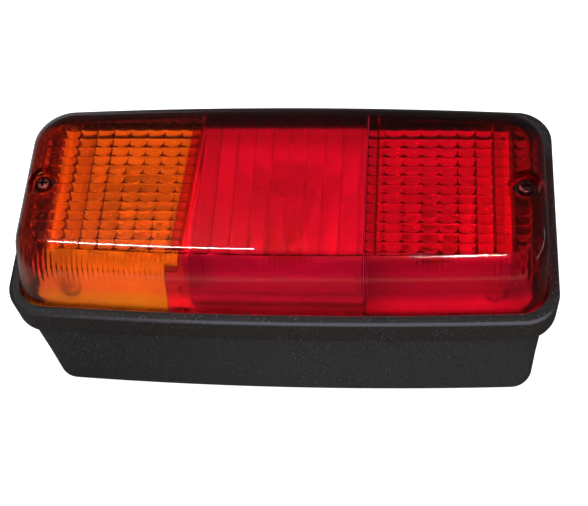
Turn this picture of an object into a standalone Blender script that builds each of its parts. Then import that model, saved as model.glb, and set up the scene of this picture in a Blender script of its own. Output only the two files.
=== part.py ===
"""Three-chamber rear lamp for a trailer, lying on its back, as separate named pieces.

Blender 4.5, metres. +Z points out of the lens, the back of the housing is on Z = 0,
the lamp's length runs along X and the amber indicator chamber is at -X.
"""

import math

import bmesh
import bpy
from mathutils import Matrix, Vector

GAP = 0.0003  # left between two pieces that touch on the real lamp

# Outline of the lamp: half lengths along X and Y, corner radii, and the bow of the long sides
RIM_HALF = (0.0950, 0.0426)
RIM_RADIUS = 0.0117
BODY_HALF = (0.0906, 0.0415)
BODY_RADIUS = 0.0080
SIDE_BOW = 0.0026
CORNER_STEPS = 5
SIDE_STEPS = 7

# Housing heights and walls
RIM_BOTTOM = 0.0449
RIM_TOP = 0.0580
RIM_EDGE = 0.0013
BODY_DRAFT = 0.0002
BACK_EDGE = 0.0021
INNER_EDGE = 0.0020
WALL = 0.0026
BACK_WALL = 0.0030
LEDGE_TOP = 0.0530
LEDGE_THICKNESS = 0.0025
LEDGE_HALF = (0.0869, 0.0354)
LEDGE_RADIUS = 0.0066
RECESS_WALL = 0.0004  # running gap between the lens edge and the rim round it

# Lens
LENS_HALF = (0.0908, 0.0386)
LENS_RADIUS = 0.0090
LENS_TOP_HALF = (0.0906, 0.0300)
LENS_TOP_RADIUS = 0.0148
LENS_TOP = 0.0765
LENS_FILLET = 0.0065
LENS_WALL = 0.0024
FILLET_STEPS = 4
GASKET_THICKNESS = 0.0015
LENS_BOTTOM = LEDGE_TOP + GASKET_THICKNESS + 2 * GAP
LENS_ENDS = (-0.1200, 0.1200)  # beyond the lens on all sides, for trimming its segments
LENS_SIDES = (-0.0600, 0.0600)
LENS_HEIGHTS = (0.0400, 0.0900)
SEAM_X = 0.0298  # the joint between the two red mouldings, and both partitions
SEAM_GAP = 0.0003
AMBER_SEAM_X = -0.0302  # the joint between the amber and red mouldings, and how far it leans
AMBER_SEAM_LEAN = 0.0625
STEP_X = 0.0370  # how far the red moulding reaches under the amber one on the front side
STEP_Y = -0.0265
STEP_TOP = 0.0728
LIP_WIDTH = 0.0038  # the red moulding's lip under the amber one's edge
LIP_HALF_Y = 0.0255
LIP_BOTTOM = 0.0728

# Lens screws, one at each end
SCREW_X = 0.0833
RECESS_RADIUS = 0.0053
RECESS_FLOOR = 0.0718
CUP_RADIUS = 0.0063
CUP_FLOOR = 0.0698
POST_RADIUS = 0.0045
SCREW_RADIUS = 0.00175
SCREW_BORE = 0.0020
SCREW_TIP = 0.0455
SCREW_HEAD_RADIUS = 0.0031
SCREW_HEAD_HEIGHT = 0.0018
WASHER_RADIUS = 0.0035
WASHER_THICKNESS = 0.0008
INSERT_RADIUS = 0.0027
INSERT_LENGTH = 0.0080
BOSS_RADIUS = 0.0052
BORE_FLOOR = 0.0300

# Reflector tray and its fixing
DECK_TOP = 0.0510
DECK_THICKNESS = 0.0016
DISH_FLOOR = 0.0345
DISH_FLOOR_RADIUS = 0.0152
SKIN = 0.0015
DECK_HALF = (0.0865, 0.0350)
DECK_RADIUS = 0.0062
BOSS_CLEARANCE = 0.0004
BULB_HOLE_RADIUS = 0.0092
PARTITION_TOP = 0.0722
PARTITION_THICKNESS = 0.0016
PARTITION_FOOT_Y = 0.0340
PARTITION_HEAD_Y = 0.0300
SIDE_WALL_Y = 0.0348  # the stop chamber's two long walls
SIDE_WALL_TOP = 0.0637
SIDE_WALL_THICKNESS = 0.0012
END_WALL_X = 0.0771
END_WALL_TOP = 0.0692
END_WALL_THICKNESS = 0.0014
END_WALL_FOOT_Y = 0.0300
END_WALL_HEAD_Y = 0.0270
PILLAR_PLACE = (0.0735, 0.0285)
PILLAR_RADIUS = 0.0038
PILLAR_BORE_FLOOR = 0.0330
TRAY_SCREW_RADIUS = 0.00145
TRAY_SCREW_HEAD = (0.0028, 0.0018)
TRAY_SCREW_TIP = 0.0370

# Bulbs and bayonet sockets: name, X of the axis, dish radius, and the glass's radius and height
CHAMBERS = (
    ("indicator", -0.0535, 0.0215, 0.0132, 0.0330),
    ("stop", 0.0, 0.0245, 0.0132, 0.0330),
    ("tail", 0.0535, 0.0215, 0.0094, 0.0215),
)
CAP_RADIUS = 0.0075
CAP_BOTTOM = 0.0185
CAP_TOP = 0.0342
PIN_Z = 0.0245
PIN_RADIUS = 0.0010
PIN_REACH = 0.0085
TURN = math.radians(22)  # bayonet turn
PUSH = 0.0020  # how far the contact gives when the bulb is pushed in
SHELL_INNER = 0.0078
SHELL_OUTER = 0.0087
SHELL_BOTTOM = 0.0090
FLANGE_RADIUS = 0.0142
FLANGE_THICKNESS = 0.0013
FLANGE_TOP = DISH_FLOOR - SKIN - GAP
STRIP_THICKNESS = 0.0009
STRIP_HALF = (0.0690, 0.0155)
STRIP_TOP = FLANGE_TOP - FLANGE_THICKNESS - GAP
RIVET_RADIUS = 0.0012
RIVET_HOLE_RADIUS = RIVET_RADIUS + 0.0002
RIVET_Y = 0.0120
CARRIER_TOP = 0.0120
CARRIER_BOTTOM = 0.0086
PLUNGER_HEAD_RADIUS = 0.0028
PLUNGER_STEM_RADIUS = 0.0011
SPRING_RADIUS = 0.0020
SPRING_WIRE = 0.00025

# Openings through the back
MOUNT_HOLE_X = 0.0700
MOUNT_HOLE_RADIUS = 0.00265
GROMMET_X = -0.0270
GROMMET_HOLE_RADIUS = 0.0050
GROMMET_POCKET = (0.0086, 0.0012)  # radius and depth
DRAIN_WIDTH = 0.0036
DRAIN_DEPTH = 0.0011
DRAIN_HEIGHTS = (RIM_BOTTOM - 0.0009, RIM_BOTTOM + 0.0012)

OVER = 0.001  # how far a cutter or a joined shape runs past the face that it meets


CORNER_SIGNS = ((-1, -1), (1, -1), (1, 1), (-1, 1))


def clear_scene():
    for obj in list(bpy.data.objects):
        bpy.data.objects.remove(obj)


def material(name, color, roughness, metallic=0.0, transmission=0.0):
    made = bpy.data.materials.new(name)
    made.use_nodes = True
    shader = made.node_tree.nodes["Principled BSDF"]
    shader.inputs["Base Color"].default_value = (*color, 1.0)
    shader.inputs["Roughness"].default_value = roughness
    shader.inputs["Metallic"].default_value = metallic
    shader.inputs["Transmission Weight"].default_value = transmission
    made.diffuse_color = (*color, 1.0)
    return made


def outline(half, radius, bow=SIDE_BOW, inset=0.0, least_radius=0.001):
    """Points of a rounded rectangle whose two long sides bow outwards."""
    half_x, half_y, radius = half[0] - inset, half[1] - inset, max(radius - inset, least_radius)
    points = []
    for sign_x, sign_y, start in ((1, 1, 0), (-1, 1, 90), (-1, -1, 180), (1, -1, 270)):
        for step in range(CORNER_STEPS + 1):
            angle = math.radians(start + 90 * step / CORNER_STEPS)
            x = sign_x * (half_x - radius) + radius * math.cos(angle)
            y = sign_y * (half_y - radius) + radius * math.sin(angle)
            points.append((x, y))
        if sign_x * sign_y > 0:
            for step in range(1, SIDE_STEPS):
                along = sign_x * (half_x - radius) * (1 - 2 * step / SIDE_STEPS)
                points.append((along, sign_y * half_y))
    bowed = []
    for x, y in points:
        share = abs(y) / half_y * (1 - (x / half_x) ** 2)
        bowed.append((x, y + math.copysign(bow * share, y)))
    return bowed


def ring_at(points, z):
    return [Vector((x, y, z)) for x, y in points]


def finish_mesh(name, built, look, origin=(0, 0, 0)):
    """Makes an object of a bmesh whose points are in world space, with its origin where given."""
    bmesh.ops.recalc_face_normals(built, faces=built.faces)
    built.transform(Matrix.Translation(-Vector(origin)))
    mesh = bpy.data.meshes.new(name)
    built.to_mesh(mesh)
    built.free()
    obj = bpy.data.objects.new(name, mesh)
    obj.location = origin
    bpy.context.scene.collection.objects.link(obj)
    if look:
        mesh.materials.append(look)
    mesh.shade_smooth()
    mesh.set_sharp_from_angle(angle=math.radians(35))
    return obj


def skin(name, loops, look=None, closed=False, origin=(0, 0, 0)):
    """Joins rings of equal length one to the next. The ends are capped, or joined when closed."""
    built = bmesh.new()
    rings = [[built.verts.new(point) for point in loop] for loop in loops]
    pairs = list(zip(rings, rings[1:]))
    if closed:
        pairs.append((rings[-1], rings[0]))
    else:
        built.faces.new(rings[0])
        built.faces.new(rings[-1])
    for below, above in pairs:
        for i in range(len(below)):
            j = (i + 1) % len(below)
            built.faces.new((below[i], below[j], above[j], above[i]))
    return finish_mesh(name, built, look, origin)


def turned(name, profile, look=None, center=(0, 0), steps=20, hollow=False):
    """A turned piece about a vertical axis. The profile is (radius, z) from one end to the other."""
    loops = []
    for radius, z in profile:
        angles = [2 * math.pi * (i + 0.5) / steps for i in range(steps)]
        loops.append(
            [
                Vector((center[0] + radius * math.cos(a), center[1] + radius * math.sin(a), z))
                for a in angles
            ]
        )
    return skin(name, loops, look, closed=hollow, origin=(center[0], center[1], 0))


def tube(name, outer, inner, bottom, top, look=None, center=(0, 0), steps=20):
    profile = [(inner, bottom), (outer, bottom), (outer, top), (inner, top)]
    return turned(name, profile, look, center, steps, hollow=True)


def cylinder(name, radius, bottom, top, look=None, center=(0, 0), steps=20):
    return turned(name, [(radius, bottom), (radius, top)], look, center, steps)


def block(name, low, high, look=None):
    corners = [(low[0], low[1]), (high[0], low[1]), (high[0], high[1]), (low[0], high[1])]
    return skin(name, [ring_at(corners, low[2]), ring_at(corners, high[2])], look)


def leaning_block(name, ends, leans, side_y, heights):
    """A block whose two ends lean along Y: ends gives their X at Y = 0, and leans their slopes."""
    corners = [(ends[i] + leans[i] * y, y) for i, y in zip((0, 1, 1, 0), sorted(side_y * 2))]
    return skin(name, [ring_at(corners, heights[0]), ring_at(corners, heights[1])])


def sector(name, radii, angles, heights, center, steps=8):
    """A slice of a ring about a vertical axis, for cutting a slot in a socket."""
    loops = []
    for i in range(steps + 1):
        angle = angles[0] + (angles[1] - angles[0]) * i / steps
        direction = Vector((math.cos(angle), math.sin(angle), 0))
        loops.append(
            [
                Vector((center[0], center[1], z)) + direction * radius
                for radius, z in (
                    (radii[0], heights[0]),
                    (radii[1], heights[0]),
                    (radii[1], heights[1]),
                    (radii[0], heights[1]),
                )
            ]
        )
    return skin(name, loops)


def combine(target, other, operation):
    """Applies one Boolean to the target and removes the other object."""
    step = target.modifiers.new(operation.lower(), "BOOLEAN")
    step.operation = operation
    step.solver = "EXACT"
    step.object = other
    bpy.context.view_layer.update()
    graph = bpy.context.evaluated_depsgraph_get()
    result = bpy.data.meshes.new_from_object(target.evaluated_get(graph))
    target.modifiers.clear()
    target.data = result
    bpy.data.objects.remove(other)


def add(target, *others):
    for other in others:
        combine(target, other, "UNION")


def cut(target, *others):
    for other in others:
        combine(target, other, "DIFFERENCE")


def arc(center, radius, start, end, steps):
    """Points (horizontal, vertical) on an arc, angles in degrees."""
    angles = [math.radians(start + (end - start) * i / steps) for i in range(steps + 1)]
    return [(center[0] + radius * math.cos(a), center[1] + radius * math.sin(a)) for a in angles]


def housing_loops():
    """Rings from the back face up the outside, over the rim, and down the inside to the floor."""
    loops = []
    for inset, z in arc((BACK_EDGE, BACK_EDGE), BACK_EDGE, 270, 180, 4):
        loops.append(ring_at(outline(BODY_HALF, BODY_RADIUS, inset=inset + BODY_DRAFT), z))
    loops.append(ring_at(outline(BODY_HALF, BODY_RADIUS), RIM_BOTTOM))
    loops.append(ring_at(outline(RIM_HALF, RIM_RADIUS, inset=RIM_EDGE), RIM_BOTTOM))
    loops.append(ring_at(outline(RIM_HALF, RIM_RADIUS), RIM_BOTTOM + RIM_EDGE))
    for inset, z in arc((RIM_EDGE, RIM_TOP - RIM_EDGE), RIM_EDGE, 180, 90, 3):
        loops.append(ring_at(outline(RIM_HALF, RIM_RADIUS, inset=inset), z))
    recess = (LENS_HALF[0] + RECESS_WALL, LENS_HALF[1] + RECESS_WALL)
    for z in (RIM_TOP, LEDGE_TOP):
        loops.append(ring_at(outline(recess, LENS_RADIUS + RECESS_WALL), z))
    ledge_bottom = LEDGE_TOP - LEDGE_THICKNESS
    for z in (LEDGE_TOP, ledge_bottom):
        loops.append(ring_at(outline(LEDGE_HALF, LEDGE_RADIUS), z))
    inner = (BODY_HALF[0] - WALL, BODY_HALF[1] - WALL)
    inner_radius = BODY_RADIUS - WALL
    loops.append(ring_at(outline(inner, inner_radius), ledge_bottom - INNER_EDGE))
    for inset, z in ((0, BACK_WALL + INNER_EDGE), (INNER_EDGE, BACK_WALL)):
        loops.append(ring_at(outline(inner, inner_radius, inset=BODY_DRAFT + inset), z))
    return loops


def make_housing(look):
    housing = skin("rear_housing", housing_loops(), look)
    for side in (-1, 1):
        center = (side * SCREW_X, 0)
        seat_floor = LEDGE_TOP - INSERT_LENGTH - 2 * GAP
        insert_seat = INSERT_RADIUS + GAP
        add(housing, cylinder("boss", BOSS_RADIUS, BACK_WALL - OVER, LEDGE_TOP, None, center))
        cut(
            housing,
            cylinder("bore", SCREW_BORE, BORE_FLOOR, LEDGE_TOP + OVER, None, center, 16),
            cylinder("insert_seat", insert_seat, seat_floor, LEDGE_TOP + OVER, None, center),
        )
        mount = (side * MOUNT_HOLE_X, 0)
        cut(housing, cylinder("mount", MOUNT_HOLE_RADIUS, -OVER, BACK_WALL + OVER, None, mount))
    for place in pillar_places():
        top = DECK_TOP - DECK_THICKNESS - GAP
        add(housing, cylinder("pillar", PILLAR_RADIUS, BACK_WALL - OVER, top, None, place, 16))
        pilot = TRAY_SCREW_RADIUS + GAP
        cut(housing, cylinder("pilot", pilot, PILLAR_BORE_FLOOR, top + OVER, None, place, 12))
    grommet = (GROMMET_X, 0)
    pocket_radius, pocket_depth = GROMMET_POCKET
    cut(
        housing,
        cylinder("hole", GROMMET_HOLE_RADIUS, -OVER, BACK_WALL + OVER, None, grommet),
        cylinder("pocket", pocket_radius, -OVER, pocket_depth, None, grommet),
    )
    front = -(RIM_HALF[1] + SIDE_BOW)
    low = (0.0, front - OVER, DRAIN_HEIGHTS[0])
    high = (DRAIN_WIDTH, front + DRAIN_DEPTH, DRAIN_HEIGHTS[1])
    cut(housing, block("drain_notch", low, high))
    return housing


def pillar_places():
    x, y = PILLAR_PLACE
    return [(sx * x, sy * y) for sx in (-1, 1) for sy in (-1, 1)]


def make_gasket(look):
    outer = outline(LENS_HALF, LENS_RADIUS, inset=0.0002)
    inner = outline(LENS_HALF, LENS_RADIUS, inset=LENS_WALL)
    bottom = LEDGE_TOP + GAP
    top = bottom + GASKET_THICKNESS
    loops = [ring_at(inner, bottom), ring_at(outer, bottom), ring_at(outer, top), ring_at(inner, top)]
    return skin("lens_gasket", loops, look, closed=True)


def lens_ring(z, inset):
    """The lens's outline at a height: the long sides lean in and the corners grow rounder."""
    share = max(0.0, (z - RIM_TOP) / (LENS_TOP - RIM_TOP))
    half = [low + (high - low) * share for low, high in zip(LENS_HALF, LENS_TOP_HALF)]
    radius = LENS_RADIUS + (LENS_TOP_RADIUS - LENS_RADIUS) * share
    return ring_at(outline(half, radius, inset=inset), z)


def lens_surface(inset):
    """Rings of the lens's outer face, or of its inner face with the wall as inset."""
    radius = LENS_FILLET - inset
    top = LENS_TOP - inset
    rings = [lens_ring(LENS_BOTTOM, inset), lens_ring(RIM_TOP, inset)]
    for step_in, z in arc((radius, top - radius), radius, 180, 90, FILLET_STEPS):
        rings.append(lens_ring(z, inset + step_in))
    return rings


def make_lens_segment(name, ends, leans, look):
    loops = lens_surface(LENS_WALL)[::-1] + lens_surface(0.0)
    lens = skin(name, loops, look)
    combine(lens, leaning_block("window", ends, leans, LENS_SIDES, LENS_HEIGHTS), "INTERSECT")
    return lens


def add_screw_post(lens, side):
    center = (side * SCREW_X, 0)
    cup_top = RECESS_FLOOR + GAP / 2
    post_bottom = LEDGE_TOP + GAP + 0.0001
    add(
        lens,
        cylinder("cup", CUP_RADIUS, CUP_FLOOR, cup_top, None, center),
        cylinder("post", POST_RADIUS, post_bottom, CUP_FLOOR + OVER, None, center),
    )
    cut(
        lens,
        cylinder("recess", RECESS_RADIUS, RECESS_FLOOR, LENS_TOP + OVER, None, center),
        cylinder("bore", SCREW_BORE, LEDGE_TOP, RECESS_FLOOR + OVER, None, center, 16),
    )


def add_amber_joint(stop, red):
    """The red moulding's lip under the amber one's edge, and its toe round the front corner."""
    leans = (AMBER_SEAM_LEAN, AMBER_SEAM_LEAN)
    inside = LENS_TOP - LENS_WALL
    sides = (-LIP_HALF_Y, LIP_HALF_Y)
    edge = AMBER_SEAM_X + SEAM_GAP
    lip = leaning_block("lip", (edge - LIP_WIDTH, edge + OVER), leans, sides, (LIP_BOTTOM, inside - GAP))
    riser = leaning_block("riser", (edge, edge + OVER), leans, sides, (LIP_BOTTOM, inside + GAP))
    ends = (SEAM_GAP - STEP_X, AMBER_SEAM_X + 2 * OVER)
    toe = make_lens_segment("toe", ends, (0, AMBER_SEAM_LEAN), red)
    low = (LENS_ENDS[0], LENS_SIDES[0], LENS_HEIGHTS[0])
    high = (LENS_ENDS[1], STEP_Y - SEAM_GAP, STEP_TOP - SEAM_GAP)
    combine(toe, block("keep", low, high), "INTERSECT")
    add(stop, lip, riser, toe)


def make_lenses(amber, red):
    half_gap = SEAM_GAP / 2
    amber_ends = (LENS_ENDS[0], AMBER_SEAM_X - half_gap)
    stop_ends = (AMBER_SEAM_X + half_gap, SEAM_X - half_gap)
    tail_ends = (SEAM_X + half_gap, LENS_ENDS[1])
    indicator = make_lens_segment("indicator_lens", amber_ends, (0, AMBER_SEAM_LEAN), amber)
    stop = make_lens_segment("stop_lens", stop_ends, (AMBER_SEAM_LEAN, 0), red)
    tail = make_lens_segment("tail_lens", tail_ends, (0, 0), red)
    step_low = (-STEP_X, LENS_SIDES[0], LENS_HEIGHTS[0])
    cut(indicator, block("step", step_low, (0.0, STEP_Y, STEP_TOP)))
    add_amber_joint(stop, red)
    add_screw_post(indicator, -1)
    add_screw_post(tail, 1)
    return indicator, stop, tail


def dish_profile(radius, offset):
    """The dish's side from its floor to the deck, moved outwards by offset."""
    floor = DISH_FLOOR - offset
    rise = DECK_TOP - DISH_FLOOR
    run = radius - DISH_FLOOR_RADIUS
    side = []
    for step in range(5):
        t = step / 4
        side.append((DISH_FLOOR_RADIUS + offset + run * math.sin(t * math.pi / 2), floor + rise * t))
    return side


def make_wall(x, thickness, foot_y, head_y, bottom, top):
    """An upright wall across the tray, narrower at its top."""
    rings = []
    for half_y, z in ((foot_y, bottom), (head_y, top)):
        corners = [(x + sx * thickness / 2, sy * half_y) for sx, sy in CORNER_SIGNS]
        rings.append(ring_at(corners, z))
    return skin("wall", rings)


def make_tray(look):
    deck = outline(DECK_HALF, DECK_RADIUS)
    bottom = DECK_TOP - DECK_THICKNESS
    foot = bottom + OVER / 2
    below, above = DISH_FLOOR - SKIN - OVER, DISH_FLOOR + OVER
    tray = skin("reflector_tray", [ring_at(deck, bottom), ring_at(deck, DECK_TOP)], look)
    for _, x, radius, _, _ in CHAMBERS:
        side = dish_profile(radius, SKIN)
        outside = [point for point in side if point[1] < bottom] + [(radius + SKIN, foot)]
        add(tray, turned("dish", outside, None, (x, 0), 28))
    walls = (
        (SEAM_X, PARTITION_THICKNESS, PARTITION_FOOT_Y, PARTITION_HEAD_Y, PARTITION_TOP),
        (END_WALL_X, END_WALL_THICKNESS, END_WALL_FOOT_Y, END_WALL_HEAD_Y, END_WALL_TOP),
    )
    for x, thickness, foot_y, head_y, top in walls:
        for side in (-1, 1):
            add(tray, make_wall(side * x, thickness, foot_y, head_y, foot, top))
    for side in (-1, 1):
        face = side * SIDE_WALL_Y
        near, far = face - SIDE_WALL_THICKNESS / 2, face + SIDE_WALL_THICKNESS / 2
        add(tray, block("long_wall", (-SEAM_X, near, foot), (SEAM_X, far, SIDE_WALL_TOP)))
    for _, x, radius, _, _ in CHAMBERS:
        inside = dish_profile(radius, 0.0) + [(radius, DECK_TOP + OVER)]
        cut(tray, turned("hollow", inside, None, (x, 0), 28))
        cut(tray, cylinder("hole", BULB_HOLE_RADIUS, below, above, None, (x, 0)))
        for y in (-RIVET_Y, RIVET_Y):
            cut(tray, cylinder("rivet_hole", RIVET_HOLE_RADIUS, below, above, None, (x, y), 12))
    for place in pillar_places():
        hole = TRAY_SCREW_RADIUS + GAP
        cut(tray, cylinder("fixing", hole, bottom - OVER, DECK_TOP + OVER, None, place, 12))
    notch = BOSS_RADIUS + BOSS_CLEARANCE
    low, high = bottom - OVER, DECK_TOP + OVER
    for side in (-1, 1):
        ends = sorted((side * SCREW_X, side * LENS_ENDS[1]))
        cut(
            tray,
            cylinder("notch", notch, low, high, None, (side * SCREW_X, 0)),
            block("slot", (ends[0], -notch, low), (ends[1], notch, high)),
        )
    return tray


def cross_recess(center, top, depth, reach, width):
    """A Phillips recess: two crossed tapered wedges."""
    wedges = []
    for turn in (0, 1):
        rings = []
        for z, shrink in ((top - depth, 0.45), (top + OVER / 2, 1.0)):
            half = (reach * shrink, width * shrink)
            half_x, half_y = half if turn == 0 else half[::-1]
            corners = [(center[0] + sx * half_x, center[1] + sy * half_y) for sx, sy in CORNER_SIGNS]
            rings.append(ring_at(corners, z))
        wedges.append(skin("cross", rings))
    return wedges


def make_pan_screw(name, center, seat, head, shank, tip, look, steps=24):
    """A pan-head screw: head is (radius, height), and its underside is at seat."""
    radius, height = head
    profile = [(shank * 0.45, tip), (shank, tip + shank), (shank, seat), (radius, seat)]
    profile += [(radius, seat + height * 0.45), (radius * 0.86, seat + height * 0.85)]
    profile.append((radius * 0.60, seat + height))
    screw = turned(name, profile, look, center, steps)
    cut(screw, *cross_recess(center, seat + height, height * 0.7, radius * 0.62, radius * 0.16))
    return screw


def make_lens_fixings(dark, rubber, brass):
    made = []
    for label, side in (("left", -1), ("right", 1)):
        center = (side * SCREW_X, 0)
        washer_bottom = RECESS_FLOOR + GAP
        seat = washer_bottom + WASHER_THICKNESS + GAP
        head = (SCREW_HEAD_RADIUS, SCREW_HEAD_HEIGHT)
        screw = make_pan_screw(
            f"{label}_lens_screw", center, seat, head, SCREW_RADIUS - 0.00005, SCREW_TIP, dark
        )
        washer = tube(
            f"{label}_screw_washer",
            WASHER_RADIUS,
            SCREW_RADIUS + 0.0001,
            washer_bottom,
            washer_bottom + WASHER_THICKNESS,
            rubber,
            center,
        )
        tube(
            f"{label}_screw_insert",
            INSERT_RADIUS,
            SCREW_RADIUS + 0.0002,
            LEDGE_TOP - INSERT_LENGTH - GAP,
            LEDGE_TOP - GAP,
            brass,
            center,
            16,
        )
        made += [screw, washer]
    return made


def make_tray_screws(steel):
    for number, place in enumerate(pillar_places(), 1):
        seat = DECK_TOP + GAP
        name = f"tray_screw_{number}"
        make_pan_screw(
            name, place, seat, TRAY_SCREW_HEAD, TRAY_SCREW_RADIUS, TRAY_SCREW_TIP, steel, 12
        )


def make_socket(label, x, look):
    """A bayonet shell with a flange at its top and two L slots for the bulb's pins."""
    center = (x, 0)
    profile = [
        (SHELL_INNER, SHELL_BOTTOM),
        (SHELL_OUTER, SHELL_BOTTOM),
        (SHELL_OUTER, FLANGE_TOP - FLANGE_THICKNESS),
        (FLANGE_RADIUS, FLANGE_TOP - FLANGE_THICKNESS),
        (FLANGE_RADIUS, FLANGE_TOP),
        (SHELL_INNER, FLANGE_TOP),
    ]
    shell = turned(f"{label}_socket_shell", profile, look, center, 28, hollow=True)
    margin = math.radians(9.5)
    low = PIN_Z - PIN_RADIUS - PUSH - GAP
    turn_heights = (low, PIN_Z + PIN_RADIUS + GAP)
    entry_heights = (low + 0.0011, FLANGE_TOP + 0.001)
    for start in (0, math.pi):
        turn = (start - margin, start + TURN + margin)
        entry = (start + TURN - margin, start + TURN + margin - 0.003)
        cut(shell, sector("entry_slot", (0.0071, 0.0091), entry, entry_heights, center))
        cut(shell, sector("turn_slot", (0.0072, 0.0092), turn, turn_heights, center))
    for y in (-RIVET_Y, RIVET_Y):
        low, high = STRIP_TOP - OVER, FLANGE_TOP + OVER
        cut(shell, cylinder("rivet_hole", RIVET_HOLE_RADIUS, low, high, None, (x, y), 12))
    return shell


def make_contact(label, x, brass, steel, plastic):
    """The sprung centre contact: carrier, plunger, spring and the live terminal under them."""
    center = (x, 0)
    hole = PLUNGER_STEM_RADIUS + 0.0004
    tube(f"{label}_contact_carrier", CAP_RADIUS, hole, CARRIER_BOTTOM, CARRIER_TOP, plastic, center)
    head_bottom = CAP_BOTTOM - 0.0023
    profile = [
        (PLUNGER_STEM_RADIUS, CARRIER_BOTTOM - 0.0014),
        (PLUNGER_STEM_RADIUS, head_bottom),
        (PLUNGER_HEAD_RADIUS, head_bottom),
        (PLUNGER_HEAD_RADIUS, head_bottom + 0.0007),
        (PLUNGER_HEAD_RADIUS * 0.6, head_bottom + 0.0011),
    ]
    plunger = turned(f"{label}_contact_plunger", profile, brass, center, 16)
    spring_ends = (CARRIER_TOP + GAP, head_bottom - GAP)
    make_spring(f"{label}_contact_spring", center, spring_ends, steel)
    terminal = make_terminal(f"{label}_live_terminal", x, CARRIER_BOTTOM - GAP, brass)
    cut(terminal, cylinder("eye", hole, CARRIER_BOTTOM - 2 * OVER, CARRIER_BOTTOM, None, center, 16))
    return plunger


def make_spring(name, center, ends, look, turns=3, steps=10, sides=5):
    """A coil swept along a helix, its end rings closed."""
    low, high = ends[0] + SPRING_WIRE, ends[1] - SPRING_WIRE
    loops = []
    for i in range(turns * steps + 1):
        angle = 2 * math.pi * i / steps
        outward = Vector((math.cos(angle), math.sin(angle), 0))
        height = low + (high - low) * i / (turns * steps)
        middle = Vector((center[0], center[1], height)) + outward * SPRING_RADIUS
        loop = []
        for side in range(sides):
            a = 2 * math.pi * side / sides
            loop.append(middle + SPRING_WIRE * (outward * math.cos(a) + Vector((0, 0, math.sin(a)))))
        loops.append(loop)
    return skin(name, loops, look, origin=(center[0], center[1], 0))


def make_terminal(name, x, top, look, width=0.0063, thickness=0.0007):
    """A brass strip that runs from under the contact to an upright spade tab."""
    reach, tab = -0.0200, 0.0085
    side = [
        (0.0040, top),
        (0.0040, top - thickness),
        (reach, top - thickness),
        (reach, top + tab),
        (reach + thickness, top + tab),
        (reach + thickness, top),
    ]
    rings = [[Vector((x + sx * width / 2, y, z)) for y, z in side] for sx in (-1, 1)]
    return skin(name, rings, look)


def make_earth_strip(look):
    corners = outline(STRIP_HALF, 0.004, bow=0.0)
    bottom = STRIP_TOP - STRIP_THICKNESS
    strip = skin("earth_strip", [ring_at(corners, bottom), ring_at(corners, STRIP_TOP)], look)
    tab_low = (-0.0302, -STRIP_HALF[1], bottom - 0.0080)
    tab_high = (-0.0239, -STRIP_HALF[1] + 0.0008, bottom + 0.0004)
    add(strip, block("tab", tab_low, tab_high))
    low, high = bottom - OVER, STRIP_TOP + OVER
    for _, x, _, _, _ in CHAMBERS:
        cut(strip, cylinder("hole", SHELL_OUTER + GAP, low, high, None, (x, 0)))
        for y in (-RIVET_Y, RIVET_Y):
            cut(strip, cylinder("rivet_hole", RIVET_HOLE_RADIUS, low, high, None, (x, y), 12))
    return strip


def make_rivets(label, x, look):
    """Two rivets that clamp the earth strip and the socket's flange under the dish."""
    low = STRIP_TOP - STRIP_THICKNESS - GAP
    high = DISH_FLOOR + GAP
    for side, y in (("front", -RIVET_Y), ("rear", RIVET_Y)):
        profile = [(0.0014, low - 0.0008), (0.0021, low - 0.0003), (0.0021, low), (RIVET_RADIUS, low)]
        profile += [(RIVET_RADIUS, high), (0.0021, high), (0.0021, high + 0.0003)]
        profile.append((0.0014, high + 0.0008))
        turned(f"{label}_{side}_rivet", profile, look, (x, y), 12)


def make_bulb(label, x, radius, height, brass, glass):
    """A single-contact bayonet bulb: cap with two pins, and its glass."""
    center = (x, 0)
    profile = [(0.0022, CAP_BOTTOM - 0.0009), (0.0034, CAP_BOTTOM - 0.0002)]
    profile += [(0.0062, CAP_BOTTOM), (CAP_RADIUS, CAP_BOTTOM + 0.0013)]
    profile += [(CAP_RADIUS, CAP_TOP - 0.0010), (CAP_RADIUS - 0.0006, CAP_TOP)]
    cap = turned(f"{label}_bulb_cap", profile, brass, center)
    steps = 8
    for side in (-1, 1):
        loops = []
        for reach in (0.0060, PIN_REACH):
            loop = []
            for i in range(steps):
                a = 2 * math.pi * i / steps
                y, z = PIN_RADIUS * math.cos(a), PIN_Z + PIN_RADIUS * math.sin(a)
                loop.append(Vector((x + side * reach, y, z)))
            loops.append(loop)
        add(cap, skin("pin", loops))
    bottom = CAP_TOP + GAP
    neck = min(0.0062, radius * 0.62)
    middle = bottom + height - radius
    start = math.degrees(math.asin(-0.70))
    profile = [(neck - 0.0008, bottom), (neck, bottom + 0.0012), (neck + 0.0004, bottom + 0.0030)]
    profile += arc((0, middle), radius, start, 84, 6)
    bulb = turned(f"{label}_bulb_glass", profile, glass, center)
    return cap, bulb


def make_grommet(look):
    profile = [(0.0024, 0.0001), (0.0080, 0.0001), (0.0080, 0.0009), (0.0047, 0.0009)]
    profile += [(0.0047, 0.0033), (0.0065, 0.0033), (0.0062, 0.0049), (0.0045, 0.0049)]
    profile += [(0.0036, 0.0085), (0.0024, 0.0085)]
    return turned("cable_grommet", profile, look, (GROMMET_X, 0), hollow=True)


def hold(name, place, children):
    """An empty on a moving group's joint, with the group's pieces under it."""
    empty = bpy.data.objects.new(name, None)
    empty.location = place
    empty.empty_display_size = 0.01
    bpy.context.scene.collection.objects.link(empty)
    for child in children:
        child.parent = empty
        child.location = child.location - Vector(place)
    return empty


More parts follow.
